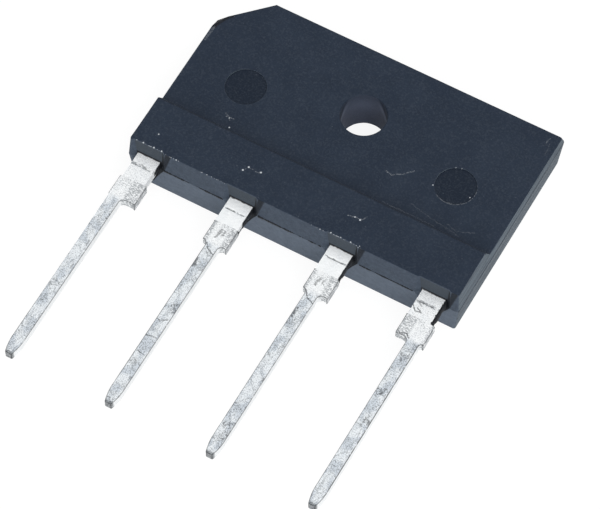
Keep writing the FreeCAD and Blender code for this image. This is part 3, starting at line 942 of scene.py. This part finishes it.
# where thin resin ran out of the mould: each line gives its two ends, the half sizes of one grain
# across x, y and z, and how much of the line is covered; all in millimetres from the screw hole
resinLines = {
    "parting_flash": [
        ((-9.65, -9.90, 2.80), (-5.25, -9.90, 2.80), (0.080, 0.036, 0.098), 0.56),
        ((-2.45, -9.90, 2.80), (2.20, -9.90, 2.80), (0.085, 0.038, 0.105), 0.60),
        ((5.15, -9.90, 2.80), (9.05, -9.90, 2.80), (0.075, 0.034, 0.090), 0.57),
    ],
    "lead_positive_resin": [
        ((-10.13, -9.66, 2.75), (-10.13, -10.45, 2.80), (0.030, 0.055, 0.26), 0.90),
    ],
    "lead_ac_1_resin": [
        ((-3.05, -9.66, 2.72), (-3.05, -11.00, 2.78), (0.035, 0.055, 0.30), 0.90),
        ((-3.05, -11.00, 2.65), (-3.05, -11.60, 2.60), (0.025, 0.050, 0.14), 0.60),
    ],
    "lead_ac_2_resin": [
        ((4.52, -9.66, 2.76), (4.52, -11.68, 2.78), (0.055, 0.055, 0.32), 0.95),
    ],
    # the broad grains beside this lead stand for resin and also for the shade right of it: partly painted
    # shade
    "lead_negative_resin": [
        ((11.43, -9.66, 2.76), (11.43, -11.68, 2.78), (0.115, 0.060, 0.35), 0.98),
        ((9.70, -10.30, 2.90), (9.70, -11.20, 2.90), (0.020, 0.050, 0.18), 0.55),
    ],
}
resinSizes = {
    "grainStep": 0.055,
    "leastScale": 0.6,
    "mostScale": 1.35,
    "patchesPerMm": 1.1,
    "seed": 3,
    "detail": 2,
}


def makeResinTree():
    # grains set along every line of the mesh, left out where the noise is over that line's cover
    resin = Builder()
    resin.tree = bpy.data.node_groups.new("resinGrains", "GeometryNodeTree")
    size = resinSizes
    inputs = {}
    sockets = [
        ("Geometry", "NodeSocketGeometry", None), ("Grain Step", "NodeSocketFloat", size["grainStep"]),
        ("Patches Per Mm", "NodeSocketFloat", size["patchesPerMm"]),
        ("Seed", "NodeSocketInt", size["seed"]), ("Material", "NodeSocketMaterial", None),
    ]
    for label, kind, start in sockets:
        socket = resin.tree.interface.new_socket(name=label, in_out="INPUT", socket_type=kind)
        inputs[label] = socket.identifier
        if start is not None:
            socket.default_value = start
    resin.tree.interface.new_socket(name="Geometry", in_out="OUTPUT", socket_type="NodeSocketGeometry")
    group = resin.make("NodeGroupInput", output=None)
    given = {label: Value(resin, group.outputs[label]) for label in inputs}
    curve = resin.make("GeometryNodeMeshToCurve", {}, {"Mesh": given["Geometry"]})
    sockets = {"Curve": curve, "Length": given["Grain Step"]}
    curve = resin.make("GeometryNodeResampleCurve", {"mode": "LENGTH"}, sockets)
    points = resin.make("GeometryNodeCurveToPoints", {"mode": "EVALUATED"}, {"Curve": curve})
    place = resin.make("GeometryNodeInputPosition")
    patch = resin.make(
        "ShaderNodeTexNoise", {"noise_dimensions": "4D"},
        {"Vector": place, "W": given["Seed"], "Scale": given["Patches Per Mm"], "Detail": 3.0},
    )
    cover = resin.make("GeometryNodeInputNamedAttribute", {"data_type": "FLOAT"}, {"Name": "cover"})
    bare = patch.apply("GREATER_THAN", cover)
    sockets = {"Geometry": points, "Selection": bare}
    points = resin.make("GeometryNodeDeleteGeometry", {"domain": "POINT"}, sockets)
    reach = resin.make("GeometryNodeInputNamedAttribute", {"data_type": "FLOAT_VECTOR"}, {"Name": "reach"})
    spread = resin.make(
        "FunctionNodeRandomValue", {"data_type": "FLOAT"},
        {2: size["leastScale"], 3: size["mostScale"], "Seed": given["Seed"]}, output=1,
    )
    thin = 1.0 - (patch / cover).apply("POWER", 6.0) * 0.6
    scale = resin.make("ShaderNodeVectorMath", {"operation": "SCALE"}, {0: reach, "Scale": spread * thin})
    grain = resin.make("GeometryNodeMeshIcoSphere", {}, {"Radius": 1.0, "Subdivisions": size["detail"]})
    sockets = {"Points": points, "Instance": grain, "Scale": scale}
    placed = resin.make("GeometryNodeInstanceOnPoints", {}, sockets)
    solid = resin.make("GeometryNodeRealizeInstances", {}, {"Geometry": placed})
    metres = resin.make("GeometryNodeTransform", {}, {"Geometry": solid, "Scale": (mm, mm, mm)})
    coated = resin.make("GeometryNodeSetMaterial", {}, {"Geometry": metres, "Material": given["Material"]})
    resin.make("NodeGroupOutput", {}, {"Geometry": coated}, output=None)
    return resin.tree, inputs


def makeResinPieces():
    tree, inputs = makeResinTree()
    for name, lines in resinLines.items():
        ends = [end for line in lines for end in line[:2]]
        links = [(2 * index, 2 * index + 1) for index in range(len(lines))]
        base = bpy.data.meshes.new(name + "_line")
        base.from_pydata(ends, links, [])
        fields = (("reach", "FLOAT_VECTOR", "vector", 2), ("cover", "FLOAT", "value", 3))
        for label, kind, field, part in fields:
            layer = base.attributes.new(label, kind, "POINT")
            for corner in range(2 * len(lines)):
                setattr(layer.data[corner], field, lines[corner // 2][part])
        holder = addObject(name + "_line", base)
        grains = holder.modifiers.new("grains", "NODES")
        grains.node_group = tree
        grains[inputs["Grain Step"]] = resinSizes["grainStep"]
        grains[inputs["Patches Per Mm"]] = resinSizes["patchesPerMm"]
        grains[inputs["Seed"]] = resinSizes["seed"]
        grains[inputs["Material"]] = resinFinish
        evaluated = holder.evaluated_get(bpy.context.evaluated_depsgraph_get())
        mesh = bpy.data.meshes.new_from_object(evaluated)
        mesh.name = name
        bpy.data.objects.remove(holder)
        mesh.materials.clear()
        mesh.materials.append(resinFinish)
        mesh.polygons.foreach_set("material_index", [0] * len(mesh.polygons))
        mesh.shade_smooth()
        piece = addObject(name, mesh)
        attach(piece, "root")
        print(name, "faces:", len(mesh.polygons))


makeMouldedBody()
print("moulded body done")
for leadName in ("lead_positive", "lead_ac_1", "lead_ac_2", "lead_negative"):
    makeLead(leadName)
makeResinPieces()
print("leads and resin films done")

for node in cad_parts.values():
    for slot in node.material_slots:
        for slotName, material in finishes.items():
            if slot.material and slot.material.name.startswith(slotName):
                slot.material = material


def seenDirectly(tree):
    # 1 for what the camera sees straight, in a reflection or through something clear
    ray = tree.make("ShaderNodeLightPath", output=None)
    kinds = ("Is Camera Ray", "Is Glossy Ray", "Is Transmission Ray")
    return strongest([Value(tree, ray.outputs[kind]) for kind in kinds])


def makeFloor():
    bpy.ops.mesh.primitive_plane_add(size=4.0, location=(0, 0, 0))
    floor = bpy.context.object
    floor.name = "floor"
    paper = Finish("paleFloor")
    dull = paper.make("ShaderNodeBsdfDiffuse", {}, {"Color": (0.8, 0.8, 0.8, 1)})
    faint = paper.make("ShaderNodeBsdfDiffuse", {}, {"Color": (0.16, 0.16, 0.16, 1)})
    glow = paper.make("ShaderNodeEmission", {}, {"Color": (1, 1, 1, 1), "Strength": 0.88})
    bright = paper.make("ShaderNodeAddShader", {}, {0: faint, 1: glow})
    surface = paper.make("ShaderNodeMixShader", {}, {0: seenDirectly(paper), 1: dull, 2: bright})
    paper.make("ShaderNodeOutputMaterial", {}, {"Surface": surface}, output=None)
    floor.data.materials.append(paper.material)


def makeWorld():
    world = bpy.data.worlds.new("studio")
    bpy.context.scene.world = world
    world.use_nodes = True
    sky = Builder()
    sky.tree = world.node_tree
    sky.tree.nodes.clear()
    seen = seenDirectly(sky)
    shade = sky.make("ShaderNodeBackground", {}, {"Color": (1, 1, 1, 1), "Strength": 0.55})
    white = sky.make("ShaderNodeBackground", {}, {"Color": (1, 1, 1, 1), "Strength": 1.0})
    mixed = sky.make("ShaderNodeMixShader", {}, {0: seen, 1: shade, 2: white})
    sky.make("ShaderNodeOutputWorld", {}, {"Surface": mixed}, output=None)


lamps = {
    "softboxFront": {"place": (0.30, -0.50, 0.42), "size": 0.5, "power": 2.2},
    "softboxTop": {"place": (0.25, 0.05, 0.7), "size": 0.6, "power": 1.9},
}


def makeLamps():
    for name, lamp in lamps.items():
        data = bpy.data.lights.new(name, "AREA")
        data.shape = "SQUARE"
        data.size = lamp["size"]
        data.energy = lamp["power"]
        box = addObject(name, data)
        box.location = lamp["place"]
        box.rotation_mode = "QUATERNION"
        box.rotation_quaternion = (-Vector(lamp["place"])).to_track_quat("-Z", "Y")


cameraSetting = {
    "place": (0.06548, -0.12330, 0.224875),
    "forward": (-0.24964, 0.43670, -0.86428),
    "up": (-0.42153, 0.75452, 0.50300),
    "lens": 234.59,
    "sensor": 36.0,
}


def makeCamera():
    data = bpy.data.cameras.new("camera")
    data.lens = cameraSetting["lens"]
    data.sensor_width = cameraSetting["sensor"]
    data.clip_start, data.clip_end = 0.01, 10.0
    camera = addObject("camera", data)
    forward = Vector(cameraSetting["forward"]).normalized()
    right = forward.cross(Vector(cameraSetting["up"])).normalized()
    up = right.cross(forward)
    turn = Matrix((right, up, -forward)).transposed()
    camera.matrix_world = Matrix.Translation(cameraSetting["place"]) @ turn.to_4x4()
    bpy.context.scene.camera = camera


makeFloor()
makeWorld()
makeLamps()
makeCamera()
bpy.context.scene.view_settings.view_transform = "Standard"
print("floor, light and camera done")
